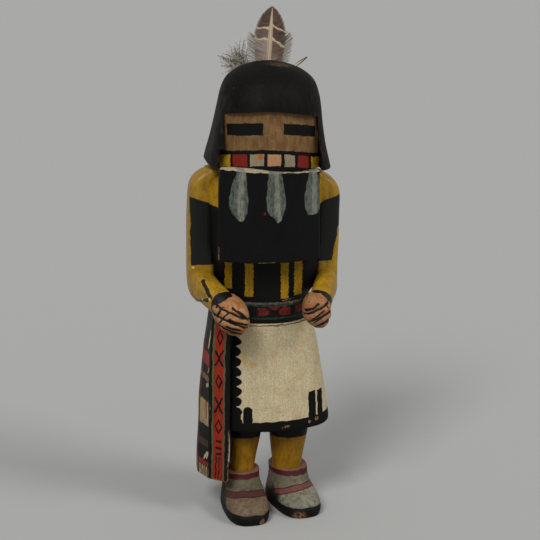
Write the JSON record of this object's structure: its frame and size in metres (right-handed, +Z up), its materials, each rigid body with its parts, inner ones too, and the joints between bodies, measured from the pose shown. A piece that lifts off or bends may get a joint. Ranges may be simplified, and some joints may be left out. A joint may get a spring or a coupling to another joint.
{
  "type": "kachina doll",
  "caption": "Carved and painted standing doll with helmet of hair, banded face, bowed beard board, kilt, side sash, stub fists and feathers set in its crown.",
  "frame": {"origin": "on the ground below the middle of the whole outline seen from above", "axes": "+Z up from soles to crown, -Y the way the doll looks, -X towards its right arm and the side sash"},
  "size_m": [0.0816, 0.0702, 0.2712],
  "materials": {
    "painted_wood": "matte mineral paint on cottonwood",
    "barred_feather": "brown feather with cream bars",
    "grey_feather": "soft pale grey-brown feather",
    "speckled_feather": "loose dark barbs with pale specks"
  },
  "bodies": {
    "root": {"carved_figure": "painted_wood", "tall_feather": "barred_feather", "back_feather": "grey_feather", "speckled_tuft": "speckled_feather", "feather_strand": "grey_feather"}
  },
  "joints": []
}
